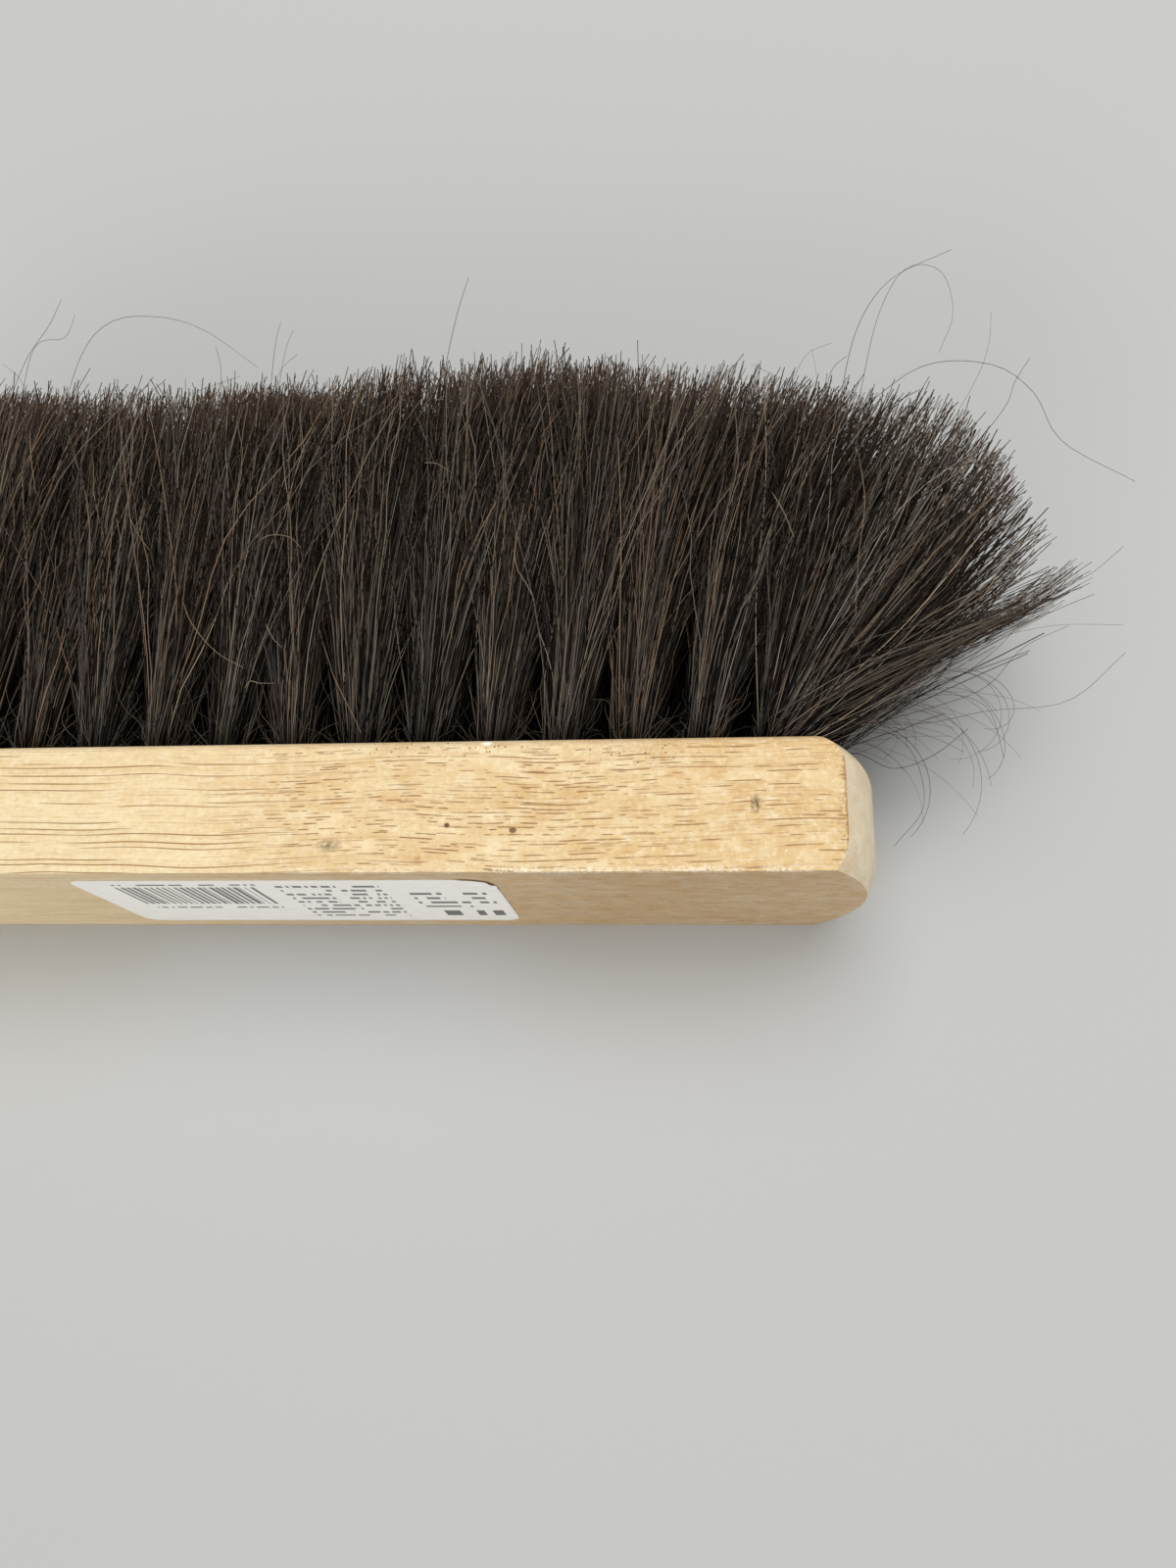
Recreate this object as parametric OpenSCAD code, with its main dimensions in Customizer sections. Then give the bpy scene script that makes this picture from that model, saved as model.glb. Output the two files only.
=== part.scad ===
// Horsehair bench brush, lying on its side.
// +X runs to the nose, +Y the way the bristles point, +Z up across the block's width.
// The origin is the middle of the side face that the block rests on.

/* [Block] */
// Length of the bristled head, from shoulder to nose edge
head_length = 215; // [190:5:240]
// Width of the block, across the bristle rows
block_width = 42; // [40:1:50]
// Thickness of the block, from its back to its bristle face
block_thickness = 22.5; // [21:0.5:26]
// Radius worn onto the two long edges of the bristle face
face_edge_radius = 1.2; // [0.6:0.2:2]

/* [Nose] */
// How far the sanded nose bulges past its two side edges
nose_bulge = 6.5; // [3:0.5:8]
// Radius between the nose and the bristle face
nose_corner_radius = 5; // [2:0.5:6]
// Radius over which the nose falls away towards the back
nose_crown_radius = 12; // [8:1:14]
// How far the nose has fallen away where it meets the back
nose_crown_drop = 1.7; // [0.5:0.1:2.5]

/* [Handle] */
// Length of the handle, from shoulder to tip
handle_length = 135; // [115:5:150]
// Width of the handle at its neck
neck_width = 26; // [24:1:30]
// Radius of the scooped shoulder each side of the neck
shoulder_radius = 28; // [22:1:34]
// Angle at which each side of the grip widens towards the tip
grip_flare = 2.5; // [1:0.5:3]
// Radius of the rounded grip edge beyond half the thickness
grip_edge_extra = 0.35; // [0.2:0.05:0.8]
// How far the round end swells past the sides of the grip
end_swell = 0.4; // [0.3:0.1:1.5]

/* [Hang hole] */
// Radius of the hole that the brush hangs by
hang_hole_radius = 4; // [3:0.5:5]

/* [Tufts] */
// Distance between tufts along a row
tuft_pitch = 11.7; // [11.5:0.1:13]
// From each side face to the middle of its outer row
row_margin = 5.4; // [5.2:0.1:6]
// Radius of the drilled tuft bores
bore_radius = 3.2; // [2.8:0.1:3.4]
// Depth of the tuft bores along their own axis
bore_depth = 13; // [11:0.5:14]
// Length of the bristles outside the block
bristle_length = 73; // [60:1:85]
// Room between a tuft's tip and the side face, or half of what parts it from the next
tip_room = 0.2; // [0.1:0.1:0.6]
// Lean of the outermost tuft over the nose
nose_lean = 34; // [20:1:36]
// Length of head over which the lean fades to nothing
lean_reach = 45; // [40:5:90]
// How much shorter the outermost tuft is trimmed
nose_trim = 6; // [0:1:10]
// From the nose edge to the outermost tufts
nose_margin = 11; // [10.5:0.5:14]
// Smallest distance from the shoulder to the first tuft
shoulder_margin = 14; // [10:1:20]
// Gap between a tuft and the wall of its bore
tuft_clearance = 0.05; // [0.02:0.01:0.1]
// How far a tuft stands clear of its bore before it fans out
collar_rise = 0.5; // [0.3:0.1:1]

/* [Staples] */
// Thickness of the flat staple wire
wire_thickness = 0.8; // [0.6:0.1:1]
// Width of a staple over its legs
staple_width = 5; // [4:0.2:5.2]
// Depth to which the legs are driven below the bore
leg_depth = 4.5; // [3:0.5:5.5]
// Height of the staple's crossbar above the bore's floor
crossbar_height = 1.2; // [0.8:0.1:2]

/* [Label] */
// Length of the paper label
label_length = 73; // [60:1:80]
// Height of the paper label
label_height = 32; // [28:1:36]
// Thickness of the paper label
label_thickness = 0.15; // [0.1:0.01:0.2]
// Radius of the label's corners
label_corner_radius = 2.5; // [1:0.5:4]
// From the nose edge to the label's near end
label_from_nose = 57; // [45:1:70]

/* [Hidden] */
$fn = 96;
rows = 4;
half_thickness = block_thickness / 2;
mid_height = block_width / 2;
nose_x = head_length / 2;
shoulder_x = -head_length / 2;
handle_tip_x = shoulder_x - handle_length;

// The nose is an arc through both side edges and the top of the bulge.
nose_radius = (pow(mid_height, 2) + pow(nose_bulge, 2)) / (2 * nose_bulge);
nose_centre_x = nose_x + nose_bulge - nose_radius;
nose_crown_run = sqrt(pow(nose_crown_radius, 2) - pow(nose_crown_radius - nose_crown_drop, 2));

// The scoop beside the neck touches the widening side of the grip.
scoop_drop = mid_height - neck_width / 2;
scoop_run = sqrt(pow(shoulder_radius, 2) - pow(shoulder_radius - scoop_drop, 2));
scoop_x = shoulder_x - scoop_run;
scoop_height = neck_width / 2 + shoulder_radius;
edge_radius = half_thickness + grip_edge_extra;
end_radius = ((scoop_x - handle_tip_x) * sin(grip_flare) + scoop_height * cos(grip_flare)
    - shoulder_radius + end_swell) / (1 + sin(grip_flare));
end_centre_x = handle_tip_x + end_radius;
grip_run = (scoop_x - end_centre_x) * cos(grip_flare) - scoop_height * sin(grip_flare);

// Columns of tufts are counted from the nose, and rows from the bottom.
columns = floor((head_length - nose_margin - shoulder_margin) / tuft_pitch) + 1;
row_pitch = (block_width - 2 * row_margin) / (rows - 1);
root_radius = bore_radius - tuft_clearance;
tip_radius = min(row_margin, tuft_pitch / 2, row_pitch / 2) - tip_room;

function column_name(c) = str("tufts_", c < 10 ? "0" : "", c);
function column_x(c) = nose_x - nose_margin - (c - 1) * tuft_pitch;
function column_lean(c) = nose_lean * pow(max(0, 1 - (c - 1) * tuft_pitch / lean_reach), 2);
function column_length(c) = bristle_length - nose_trim * pow(column_lean(c) / nose_lean, 2);
function row_height(r) = row_margin + r * row_pitch;

// Puts children at a tuft's mouth with +Z along its bristles.
module at_tuft(c, r) {
    translate([column_x(c), half_thickness, row_height(r)])
        rotate([0, 0, -column_lean(c)])
            rotate([-90, 0, 0])
                children();
}

// Turns a profile, radius by height, about an axis along +Y, its seam facing +X or turned from it.
module turned_about_y(x, z, seam = 0) {
    translate([x, 0, z])
        rotate([-90, 0, 0])
            rotate([0, 0, seam])
                rotate_extrude()
                    children();
}

// Section of the head, seen along +X, with the bristle face's edges worn round.
module head_section() {
    r = face_edge_radius;
    translate([-half_thickness, 0])
        square([block_thickness - r, block_width]);
    translate([half_thickness - 2 * r, r])
        square([2 * r, block_width - 2 * r]);
    for (z = [r, block_width - r])
        translate([half_thickness - r, z])
            circle(r);
}

// Half profile of the nose disc, rounded to the bristle face and crowned towards the back.
module nose_profile() {
    r = nose_corner_radius;
    crown_y = -half_thickness + nose_crown_run;
    intersection() {
        translate([0, -half_thickness])
            square([nose_radius, block_thickness]);
        union() {
            translate([0, crown_y])
                square([nose_radius, half_thickness - r - crown_y]);
            translate([0, half_thickness - 2 * r])
                square([nose_radius - r, 2 * r]);
            translate([nose_radius - r, half_thickness - r])
                circle(r);
            translate([0, -half_thickness])
                square([nose_radius - nose_crown_radius, nose_crown_run]);
            translate([nose_radius - nose_crown_radius, crown_y])
                circle(nose_crown_radius);
        }
    }
}

// The plank with its nose, running on a little way past the neck.
module plank() {
    start_x = scoop_x - edge_radius;
    intersection() {
        translate([start_x, 0, 0])
            rotate([90, 0, 90])
                linear_extrude(nose_x + nose_bulge + 1 - start_x)
                    head_section();
        union() {
            turned_about_y(nose_centre_x, mid_height)
                nose_profile();
            translate([start_x - 1, -half_thickness, 0])
                cube([nose_centre_x + nose_radius / 2 - start_x, block_thickness, block_width]);
        }
    }
}

// What is taken off one side of the plank: the scoop, and all past where the grip takes over.
module neck_cut() {
    translate([scoop_x, 0, scoop_height])
        rotate([-90, 0, 0])
            rotate_extrude()
                difference() {
                    translate([0, -block_thickness])
                        square([shoulder_radius + edge_radius, 2 * block_thickness]);
                    translate([shoulder_radius + edge_radius, 0])
                        circle(edge_radius);
                }
    intersection() {
        translate([scoop_x, 0, scoop_height])
            rotate([0, grip_flare, 0])
                translate([-2 * shoulder_radius, -block_thickness, -2 * block_width])
                    cube([2 * shoulder_radius, 2 * block_thickness, 4 * block_width]);
        translate([scoop_x - 3 * shoulder_radius, -block_thickness, 0])
            cube([6 * shoulder_radius, 2 * block_thickness, block_width]);
    }
}

// Profile of the grip's side, from the edge inwards, one edge radius past the middle.
module grip_side_profile() {
    reach = end_radius + edge_radius;
    intersection() {
        translate([-reach, -half_thickness])
            square([reach, block_thickness]);
        union() {
            translate([-reach, -half_thickness])
                square([reach - edge_radius, block_thickness]);
            translate([-edge_radius, 0])
                circle(edge_radius);
        }
    }
}

// One side of the grip, widening from the neck to the round end.
module half_grip() {
    intersection() {
        translate([scoop_x, 0, scoop_height])
            rotate([0, grip_flare, 0])
                translate([0, 0, -shoulder_radius])
                    rotate([0, -90, 0])
                        linear_extrude(grip_run)
                            grip_side_profile();
        translate([handle_tip_x, -block_thickness, 0])
            cube([handle_length, 2 * block_thickness, block_width]);
    }
}

// Half profile of the rounded end of the grip.
module grip_end_profile() {
    intersection() {
        translate([0, -half_thickness])
            square([end_radius, block_thickness]);
        union() {
            translate([0, -half_thickness])
                square([end_radius - edge_radius, block_thickness]);
            translate([end_radius - edge_radius, 0])
                circle(edge_radius);
        }
    }
}

// The block and handle, cut from one plank, before it is drilled.
module blank() {
    difference() {
        plank();
        translate([0, 0, mid_height]) {
            neck_cut();
            mirror([0, 0, 1])
                neck_cut();
        }
    }
    translate([0, 0, mid_height]) {
        half_grip();
        mirror([0, 0, 1])
            half_grip();
    }
    turned_about_y(end_centre_x, mid_height, 180)
        grip_end_profile();
}

module handle_block() {
    color("burlywood")
        difference() {
            blank();
            translate([end_centre_x, -half_thickness - 1, mid_height])
                rotate([-90, 0, 0])
                    cylinder(h = block_thickness + 2, r = hang_hole_radius);
            for (c = [1:columns])
                for (r = [0:rows - 1])
                    at_tuft(c, r) {
                        translate([0, 0, -bore_depth])
                            cylinder(h = bore_depth + 2 * bore_radius, r = bore_radius);
                        staple();
                    }
        }
}

// A flat-wire staple, its crossbar over the fold of a tuft and its legs in the wood.
module staple() {
    bar_z = -bore_depth + crossbar_height;
    translate([-wire_thickness / 2, -staple_width / 2, bar_z])
        cube([wire_thickness, staple_width, wire_thickness]);
    for (side = [-1, 1])
        translate([-wire_thickness / 2, side * (staple_width - wire_thickness) / 2 - wire_thickness / 2,
            -bore_depth - leg_depth])
            cube([wire_thickness, wire_thickness, leg_depth + crossbar_height + wire_thickness]);
}

module tuft_staples() {
    color("silver")
        for (c = [1:columns])
            for (r = [0:rows - 1])
                at_tuft(c, r)
                    staple();
}

// A tuft of horsehair, round in its bore and widening to its tip.
module tuft(lean, length) {
    collar = root_radius * tan(lean) + collar_rise;
    floor_z = -bore_depth + tuft_clearance;
    difference() {
        rotate_extrude()
            polygon([
                [0, floor_z],
                [root_radius, floor_z],
                [root_radius, collar],
                [tip_radius, length],
                [0, length]
            ]);
        staple();
    }
}

module tuft_column(c) {
    color("#2b2622")
        for (r = [0:rows - 1])
            at_tuft(c, r)
                tuft(column_lean(c), column_length(c));
}

module label() {
    r = label_corner_radius;
    color("white")
        translate([nose_x - label_from_nose - label_length / 2, -half_thickness, mid_height])
            rotate([90, 0, 0])
                linear_extrude(label_thickness) {
                    square([label_length, label_height - 2 * r], center = true);
                    square([label_length - 2 * r, label_height], center = true);
                    for (sx = [-1, 1])
                        for (sz = [-1, 1])
                            translate([sx * (label_length / 2 - r), sz * (label_height / 2 - r)])
                                circle(r);
                }
}

handle_block();
tuft_staples();
label();
for (c = [1:columns])
    tuft_column(c);
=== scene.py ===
# %% [markdown]
# # A horsehair bench brush
# The brush is a plank of pale rubberwood with four rows of dark horsehair tufts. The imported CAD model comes
# in first and stays as it is: it is the frame that every new piece is measured from. All lengths are metres,
# but where a name or a comment says millimetres.

# %% Load the frame
import math

import bpy
import numpy as np
from mathutils import Euler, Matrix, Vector


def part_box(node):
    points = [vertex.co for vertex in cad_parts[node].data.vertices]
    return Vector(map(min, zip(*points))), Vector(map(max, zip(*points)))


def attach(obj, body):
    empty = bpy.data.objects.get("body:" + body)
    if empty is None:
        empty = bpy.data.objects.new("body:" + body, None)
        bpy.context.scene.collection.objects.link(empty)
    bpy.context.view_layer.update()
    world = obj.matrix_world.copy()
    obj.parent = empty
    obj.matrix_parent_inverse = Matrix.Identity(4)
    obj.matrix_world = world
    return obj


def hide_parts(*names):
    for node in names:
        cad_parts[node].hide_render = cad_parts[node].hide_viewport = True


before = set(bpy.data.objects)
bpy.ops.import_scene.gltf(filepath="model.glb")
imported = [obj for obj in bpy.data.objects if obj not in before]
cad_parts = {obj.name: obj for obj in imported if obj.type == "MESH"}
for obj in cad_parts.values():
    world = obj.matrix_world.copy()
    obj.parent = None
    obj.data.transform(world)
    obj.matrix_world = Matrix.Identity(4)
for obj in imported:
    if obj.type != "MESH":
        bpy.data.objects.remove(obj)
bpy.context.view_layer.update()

MM = 0.001
block_low, block_high = (Vector(corner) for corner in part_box("handle_block"))
tuft_nodes = sorted(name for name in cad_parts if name.startswith("tufts_"))
print("block", block_low, block_high)
print(len(tuft_nodes), "tuft nodes")

# %% [markdown]
# ## Small helpers
# Blender mixes light in linear values, while a colour given in hex is sRGB, so one function turns hex into
# linear. Materials are graphs of nodes: one function adds a node, its settings and its links. The patterns
# here are long sums on places and noises, and colours laid over each other, so these two have short names as
# well.

# %% Colour and node helpers
def linear(code):
    """The linear colour, with alpha, of an sRGB hex code."""
    channels = [int(code[i:i + 2], 16) / 255 for i in (0, 2, 4)]
    return [c / 12.92 if c <= 0.04045 else ((c + 0.055) / 1.055) ** 2.4 for c in channels] + [1.0]


def blank_material(name):
    """A material with nothing in it yet, and its node tree."""
    material = bpy.data.materials.new(name)
    material.use_nodes = True
    tree = material.node_tree
    tree.nodes.clear()
    return material, tree


def add(tree, kind, inputs=None, stops=(), **settings):
    """Adds a node to a tree. An input is a number, a colour or the socket that it is linked to.

    The stops are a colour ramp's: each is a place and either a grey level or a colour.
    """
    new = tree.nodes.new("ShaderNode" + kind)
    for name, value in settings.items():
        setattr(new, name, value)
    for name, value in (inputs or {}).items():
        if isinstance(value, bpy.types.NodeSocket):
            tree.links.new(value, new.inputs[name])
        else:
            new.inputs[name].default_value = value
    for number, (place, colour) in enumerate(stops):
        elements = new.color_ramp.elements
        stop = elements[number] if number < 2 else elements.new(place)
        stop.position = place
        stop.color = colour if isinstance(colour, list) else [colour] * 3 + [1.0]
    return new


# %% Sums and layers of colour
def tree_of(*values):
    """The node tree that the first socket among some values is in."""
    return next(value.id_data for value in values if isinstance(value, bpy.types.NodeSocket))


def work_out(operation, a, b=0.0):
    """A sum on sockets and numbers, such as the greater of the two."""
    return add(tree_of(a, b), "Math", {0: a, 1: b}, operation=operation).outputs[0]


def plus(a, b):
    return work_out("ADD", a, b)


def minus(a, b):
    return work_out("SUBTRACT", a, b)


def times(a, b):
    return work_out("MULTIPLY", a, b)


def over(a, b):
    return work_out("DIVIDE", a, b)


def greater(a, b):
    return work_out("MAXIMUM", a, b)


def rise(value, low, high):
    """0 below the low value and 1 above the high one. With low over high it falls instead."""
    return add(tree_of(value), "MapRange", {"Value": value, "From Min": low, "From Max": high}).outputs[0]


def lay_over(colour, *layers, blend="MIX"):
    """Lays colours over a colour, one after another. Each layer is how much of it there is, and its colour."""
    for amount, layer in layers:
        inputs = {"Factor": amount, "A": colour, "B": layer}
        mixer = add(tree_of(amount, colour, layer), "Mix", inputs, data_type="RGBA", blend_type=blend)
        colour = mixer.outputs["Result"]
    return colour


# %% Piece helpers
def deselect_all():
    if bpy.context.object and bpy.context.object.mode != "OBJECT":
        bpy.ops.object.mode_set(mode="OBJECT")
    bpy.ops.object.select_all(action="DESELECT")


def dress(piece, material, slot_name, *nodes):
    """Gives a finished piece its material and body, and hides the CAD nodes that it stands for. The slot name is
    not used.
    """
    piece.data.materials.clear()
    piece.data.materials.append(material)
    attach(piece, "root")
    if nodes:
        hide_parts(*nodes)


# %% [markdown]
# ## Camera, floor and light
# The brush lies on its side and is seen from above, from the side of its back, with a wide lens close to it.
# The long side of the picture sets the field of view, so the lens is given for a 36 mm sensor.

# %% Camera
camera_data = bpy.data.cameras.new("camera")
camera_data.lens = 27.05
camera_data.sensor_width = 36.0
camera_data.clip_start = 0.01
camera = bpy.data.objects.new("camera", camera_data)
camera.location = Vector((85.3, -56.0, 221.6)) * MM
camera.rotation_euler = Euler([math.radians(turn) for turn in (18.28, 5.60, 1.16)])
bpy.context.scene.collection.objects.link(camera)
bpy.context.scene.camera = camera
print("camera", camera.location, "lens", round(camera_data.lens, 2), "mm")

# %% [markdown]
# A plain floor of pale grey card, matt as paper is, catches the shadow. Light comes from a soft panel high
# over the bristle side. A much larger and dimmer one, far off and low on the back's side, lights the narrow
# faces, and an even sky fills the shadows. The camera doesn't see the panels. Together they light a surface
# that faces up so that it renders about as its colour is written.

# %% Floor
floor_drop = 0.05 * MM
deselect_all()
bpy.ops.mesh.primitive_plane_add(size=6.0, location=(0, 0, -floor_drop))
floor = bpy.context.object
floor.name = "floor"
card, card_tree = blank_material("floor_card")
card_shader = add(card_tree, "BsdfPrincipled", {"Base Color": linear("C3C4C3"), "Roughness": 0.9})
add(card_tree, "OutputMaterial", {"Surface": card_shader.outputs[0]})
floor.data.materials.append(card)
print("floor at", -floor_drop)


# %% Light
def soft_panel(name, size, watts, place, target):
    """A rectangular light that faces a target."""
    data = bpy.data.lights.new(name, "AREA")
    data.shape = "RECTANGLE"
    data.size, data.size_y = size
    data.energy = watts
    panel = bpy.data.objects.new(name, data)
    panel.location = place
    panel.visible_camera = False
    panel.rotation_euler = (Vector(target) - Vector(place)).to_track_quat("-Z", "Y").to_euler()
    bpy.context.scene.collection.objects.link(panel)
    print(name, watts, "watts")


soft_panel("panel", size=(1.0, 0.7), watts=7.2, place=(0.17, 0.28, 0.98), target=(0.05, 0.03, 0))
soft_panel("fill", size=(3.2, 2.0), watts=76, place=(-2.1, -3.4, 1.34), target=(0.03, 0, 0.02))
sky = bpy.data.worlds.new("soft_sky")
bpy.context.scene.world = sky
sky.use_nodes = True
sky.node_tree.nodes["Background"].inputs["Color"].default_value = linear("FFFEFC")
sky.node_tree.nodes["Background"].inputs["Strength"].default_value = 0.42
bpy.context.scene.view_settings.view_transform = "Standard"

# %% [markdown]
# ## Rubberwood
# The block is bare plantation rubberwood, planed and sanded, so it has no gloss: a pale cream ground, cloudy
# along the grain. Its large pores are long tubes. Where a face runs along them they are cut open, as thin
# brown lines broken into dashes: long ones in the straight grain of the handle, short crowded ones about a
# curl in the grain. The wood is drawn in Object coordinates, in millimetres, and so runs on round every edge.

# %% The place on the plank
metres_to_mm = (1 / MM, 1 / MM, 1 / MM)
wood_material, wood_tree = blank_material("rubberwood_bare_sanded")
place = add(wood_tree, "TexCoord").outputs["Object"]
in_mm = add(wood_tree, "Mapping", {"Vector": place, "Scale": metres_to_mm}).outputs[0]
x, y, z = add(wood_tree, "SeparateXYZ", {"Vector": in_mm}).outputs
normal = add(wood_tree, "NewGeometry").outputs["Normal"]
facing_x, facing_y, facing_z = add(wood_tree, "SeparateXYZ", {"Vector": normal}).outputs
# The block lies on its side, so that its two narrow faces, the back and the bristle face, stand upright.
upright_share = work_out("ABSOLUTE", facing_y)
print("wood measured from the frame's origin")

# %% [markdown]
# Noise that is drawn out along the plank makes clouds, bands and fibres, each of its own length and width.
# The places that it is read at sway a little, so that the grain wanders across the plank.

# %% Grain
sway_mm = 5.0
wander = add(wood_tree, "TexNoise", {"Vector": in_mm, "Scale": 0.022, "Detail": 2.0}).outputs["Color"]
sway = add(wood_tree, "VectorMath", {0: wander, 1: (0.0, sway_mm, sway_mm)}, operation="MULTIPLY").outputs[0]
wavy = add(wood_tree, "VectorMath", {0: in_mm, 1: sway}, operation="ADD").outputs[0]


def grain(length, width, detail, offset, roughness=0.5):
    """Noise drawn out along the plank: length mm by width mm."""
    scale = (1 / length, 1 / width, 1 / width)
    drawn_out = add(wood_tree, "Mapping", {"Vector": wavy, "Location": offset, "Scale": scale}).outputs[0]
    inputs = {"Vector": drawn_out, "Scale": 1.0, "Detail": detail, "Roughness": roughness}
    return add(wood_tree, "TexNoise", inputs).outputs["Fac"]


clouds = grain(length=30, width=7, detail=3.0, offset=(0, 0, 0))
bands = grain(length=70, width=1.3, detail=2.0, offset=(3, 1, 7))
mottle = grain(length=3.2, width=2.0, detail=3.0, offset=(5, 5, 1), roughness=0.6)
fibres = grain(length=5, width=0.2, detail=3.0, offset=(0, 4, 0), roughness=0.6)
fuzz_inputs = {"Vector": in_mm, "Scale": 1.1, "Detail": 3.0, "Roughness": 0.7}
fuzz = add(wood_tree, "TexNoise", fuzz_inputs).outputs["Fac"]
print("clouds, bands, mottle, fibres and fuzz")

# %% [markdown]
# The ground is built up in thin layers, as a painter grains a door. The handle's end is palest, and the head
# grows tanner and more mottled towards the nose. The two narrow faces get painted shade: they are darker and a
# little pinker, most of all towards the nose. Last come the fuzz that sanding raises and the fine fibres.

# %% Ground of the wood
handle_share = times(rise(x, 50, -20), 0.6)
nose_share = times(rise(x, 45, 85), 0.4)
mottled_share = plus(times(rise(x, -20, 50), 0.4), times(rise(x, 50, 85), 0.3))
ground = lay_over(
    linear("E4C48C"),
    (rise(clouds, 0.34, 0.66), linear("F3DEB0")),
    (handle_share, linear("F7E4B9")),
    (nose_share, linear("DFBC82")),
    (times(rise(bands, 0.46, 0.72), 0.3), linear("D6AE73")),
    (times(rise(mottle, 0.52, 0.72), 0.45), linear("FBEBC8")),
    (times(rise(mottle, 0.5, 0.28), mottled_share), linear("D3A768")),
)
# Painted shade: the upright narrow faces are darkened and tinted, least at the handle's end.
narrow_face_painted_shade = times(upright_share, plus(times(rise(x, -60, 60), 0.75), 0.25))
ground = lay_over(ground, (narrow_face_painted_shade, [0.635, 0.618, 0.685, 1.0]), blend="MULTIPLY")
fuzzy_share = minus(0.5, times(upright_share, 0.35))
ground = lay_over(
    ground,
    (times(rise(fuzz, 0.54, 0.68), fuzzy_share), linear("FDF0D2")),
    (times(rise(fuzz, 0.46, 0.32), 0.3), linear("CFA465")),
    (times(rise(fibres, 0.56, 0.3), 0.2), linear("B98F58")),
)
print("ground of the wood in ten layers")

# %% [markdown]
# Growth rings that are cut at a slant show as faint wide arches about the curl in the grain. The pores crowd
# on them. Each set of pores is a row of lines across the face, and a smooth noise along each line says where
# the line shows.

# %% Arches of the growth rings
arch_middle_mm, arch_reach_mm = (44, 3), (34, 20)
arch_x = over(minus(x, arch_middle_mm[0]), arch_reach_mm[0])
arch_y = over(minus(y, arch_middle_mm[1]), arch_reach_mm[1])
arch = work_out("SQRT", plus(times(arch_x, arch_x), times(arch_y, arch_y)))
rings = work_out("SINE", times(plus(arch, times(clouds, 0.9)), 21))
arched = times(rise(arch, 1.3, 0.5), rise(rings, -0.2, 1.0))
ground = lay_over(ground, (times(arched, 0.3), linear("D4A767")))
print("growth rings about", arch_middle_mm)

# %% Pores
wavy_y, wavy_z = add(wood_tree, "SeparateXYZ", {"Vector": wavy}).outputs[1:]
across_face = plus(times(wavy_y, minus(1.0, upright_share)), times(wavy_z, upright_share))


def pores(run, pitch, half_width, least, seed):
    """Lines a pitch apart across a face, in dashes about run mm long. A higher least value leaves fewer."""
    line_place = over(across_face, pitch)
    number = work_out("FLOOR", line_place)
    seeds = add(wood_tree, "CombineXYZ", {"X": number, "Y": seed}).outputs[0]
    chance = add(wood_tree, "TexWhiteNoise", {"Vector": seeds}, noise_dimensions="3D").outputs["Value"]
    middle = plus(times(chance, 0.6), 0.2)
    distance = times(work_out("ABSOLUTE", minus(work_out("FRACT", line_place), middle)), pitch)
    along = plus(over(x, run), times(chance, 50))
    line = add(wood_tree, "CombineXYZ", {"X": along, "Y": times(number, 3.7), "Z": seed}).outputs[0]
    shows = add(wood_tree, "TexNoise", {"Vector": line, "Scale": 1.0, "Detail": 1.0}).outputs["Fac"]
    amount = rise(shows, least, least + 0.12)
    reach = times(work_out("SQRT", amount), half_width)
    return times(rise(minus(reach, distance), -0.05, 0.05), rise(amount, 0.0, 0.25))


curl_share = times(rise(x, 0, 18), rise(x, 125, 60))
crowd = plus(rise(grain(length=16, width=4, detail=1.0, offset=(2, 6, 3)), 0.36, 0.55), times(arched, 0.6))
short = pores(run=2.7, pitch=0.58, half_width=0.10, least=0.53, seed=1.5)
short = times(short, times(crowd, plus(times(curl_share, 0.85), 0.15)))
medium = pores(run=5.5, pitch=0.85, half_width=0.105, least=0.54, seed=2.5)
medium = times(medium, plus(times(rise(x, 0, 60), 0.75), 0.25))
straight = pores(run=24, pitch=1.15, half_width=0.105, least=0.49, seed=3.5)
straight = times(straight, plus(times(rise(x, 30, 5), 0.8), 0.2))
pore = work_out("MINIMUM", greater(greater(short, medium), straight), 1.0)
pore = times(pore, minus(1.0, times(upright_share, 0.55)))
wood = lay_over(ground, (times(pore, 0.85), linear("8C5B28")))
print("three sets of pores")

# %% [markdown]
# At the nose the tubes are cut across and are only dots, and the sanded end is paler than the sides. Its edge
# breaks out of the side in a short torn brown line.

# %% Sanded end
across_end = add(wood_tree, "Mapping", {"Vector": in_mm, "Scale": (0.05, 0.8, 0.8)}).outputs[0]
dots = add(wood_tree, "TexVoronoi", {"Vector": across_end, "Scale": 1.6}).outputs["Distance"]
streaks = add(wood_tree, "TexNoise", {"Vector": across_end, "Scale": 0.35, "Detail": 4.0}).outputs["Fac"]
end_wood = lay_over(
    linear("FAECCF"),
    (times(rise(streaks, 0.42, 0.66), 0.6), linear("EBD2AC")),
    (times(rise(dots, 0.24, 0.14), 0.4), linear("A9804F")),
)
end_grain = rise(facing_x, 0.45, 0.85)
wood = lay_over(wood, (times(end_grain, 0.85), end_wood))

speck_inputs = {"Vector": in_mm, "Scale": 1.5, "Detail": 4.0, "Roughness": 0.7}
specks = add(wood_tree, "TexNoise", speck_inputs).outputs["Fac"]
nose_edge_mm = block_high.x / MM - 6.5
beside_end = times(rise(facing_x, 0.5, 0.3), rise(work_out("ABSOLUTE", facing_z), 0.5, 0.8))
torn = times(rise(x, nose_edge_mm - 2.2, nose_edge_mm - 0.1), rise(specks, 0.5, 0.58))
crease = rise(plus(x, times(specks, 1.6)), nose_edge_mm + 0.25, nose_edge_mm + 0.6)
wood = lay_over(wood, (times(times(beside_end, greater(torn, crease)), 0.7), linear("94683A")))
print("sanded end from x =", round(nose_edge_mm, 1), "mm")

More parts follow.
